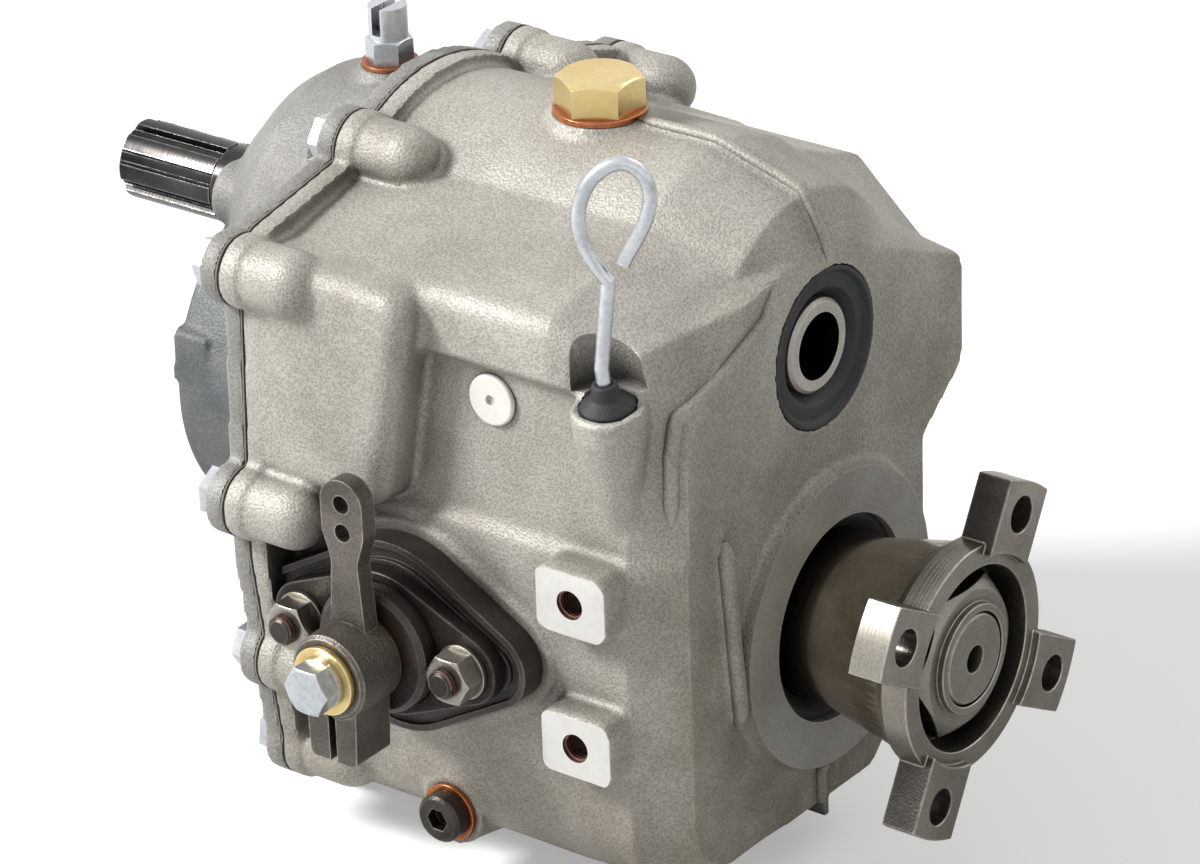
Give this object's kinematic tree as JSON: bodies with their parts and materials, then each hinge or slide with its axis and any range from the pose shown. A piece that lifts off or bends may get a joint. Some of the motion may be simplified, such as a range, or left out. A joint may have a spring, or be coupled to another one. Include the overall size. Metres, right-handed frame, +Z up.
{
  "type": "marine reduction gearbox",
  "caption": "Marine reversing reduction gearbox in a cast housing with splined input shaft, lugged output coupling, side shift lever, dipstick and brass filler plug.",
  "frame": {"origin": "on the input shaft's axis, in the plane of the front face that bolts to the engine", "axes": "+X aft along both shafts, towards the output coupling; +Z up; -Y towards the shift lever's side"},
  "size_m": [0.2955, 0.2222, 0.2354],
  "materials": {
    "cast_aluminium": "as cast, fine grain",
    "cast_grey": "cast, dull blue-grey",
    "machined_steel": "turned",
    "dark_steel": "oiled, dark",
    "gear_steel": "ground",
    "black_cover": "satin black",
    "zinc": "bright zinc",
    "brass": "turned",
    "copper": "soft copper",
    "bronze": "bearing bronze",
    "rubber": "matte",
    "gasket_paper": "fibre sheet",
    "white_plastic": "pale"
  },
  "bodies": {
    "casing": {"rear_housing": "cast_aluminium", "front_housing": "cast_grey", "housing_gasket": "gasket_paper", "housing_bolts": "zinc", "dowel_pins": "gear_steel", "input_front_bearing": "gear_steel", "input_rear_bearing": "gear_steel", "input_seal": "rubber", "input_tail_seal": "rubber", "output_front_bearing": "gear_steel", "output_rear_bearing": "gear_steel", "output_seal": "rubber", "idler_pin": "gear_steel", "shift_cover": "black_cover", "shift_flange": "machined_steel", "cover_studs": "dark_steel", "cover_washers": "machined_steel", "cover_nuts": "machined_steel", "shift_bush": "bronze", "copper_ring": "copper", "filler_plug": "brass", "filler_washer": "copper", "breather": "zinc", "breather_washer": "copper", "drain_plug": "dark_steel", "drain_washer": "copper", "side_plug": "white_plastic"},
    "input": {"input_shaft": "dark_steel"},
    "forward": {"forward_gear": "gear_steel", "forward_gear_bush": "bronze"},
    "reverse": {"reverse_gear": "gear_steel", "reverse_gear_bush": "bronze"},
    "idler": {"idler_gear": "gear_steel", "idler_bush": "bronze"},
    "output": {"output_shaft": "machined_steel", "output_coupling": "machined_steel", "coupling_nut": "machined_steel"},
    "clutch": {"clutch_sleeve": "gear_steel"},
    "selector": {"shift_shaft": "machined_steel", "shift_lever": "dark_steel", "lever_washer": "brass", "lever_bolt": "zinc"},
    "block": {"sliding_block": "bronze"},
    "stick": {"dipstick": "zinc", "dipstick_bung": "rubber"}
  },
  "joints": [
    {"name": "input_spin", "type": "hinge", "parent": "casing", "child": "input", "pos_m": [0, 0, 0], "axis": [1, 0, 0], "continuous": true},
    {"name": "forward_gear_spin", "type": "hinge", "parent": "casing", "child": "forward", "pos_m": [0.136, 0, -0.08125], "axis": [1, 0, 0], "continuous": true},
    {"name": "idler_spin", "type": "hinge", "parent": "casing", "child": "idler", "pos_m": [0.074, 0.03621, -0.02878], "axis": [1, 0, 0], "continuous": true},
    {"name": "reverse_gear_spin", "type": "hinge", "parent": "casing", "child": "reverse", "pos_m": [0.074, 0, -0.08125], "axis": [1, 0, 0], "continuous": true},
    {"name": "output_spin", "type": "hinge", "parent": "casing", "child": "output", "pos_m": [0.194, 0, -0.08125], "axis": [1, 0, 0], "continuous": true},
    {"name": "clutch_slide", "type": "slide", "parent": "output", "child": "clutch", "axis": [1, 0, 0], "range_m": [-0.00325, 0.00325]},
    {"name": "lever_swing", "type": "hinge", "parent": "casing", "child": "selector", "pos_m": [0.105, -0.0987, -0.07475], "axis": [0, 1, 0], "range_deg": [-30, 30]},
    {"name": "block_slide", "type": "slide", "parent": "casing", "child": "block", "axis": [1, 0, 0], "range_m": [-0.00325, 0.00325]},
    {"name": "dipstick_pull", "type": "slide", "parent": "casing", "child": "stick", "axis": [0, -0.1736, 0.9848], "range_m": [0, 0.08]}
  ],
  "couplings": [
    {"joint": "forward_gear_spin", "follows": "input_spin", "ratio": -0.58537},
    {"joint": "idler_spin", "follows": "input_spin", "ratio": -1.0556},
    {"joint": "reverse_gear_spin", "follows": "input_spin", "ratio": 0.57576},
    {"joint": "lever_swing", "follows": "clutch_slide", "rad_per_m": -161.11},
    {"joint": "block_slide", "follows": "clutch_slide", "ratio": 1}
  ]
}
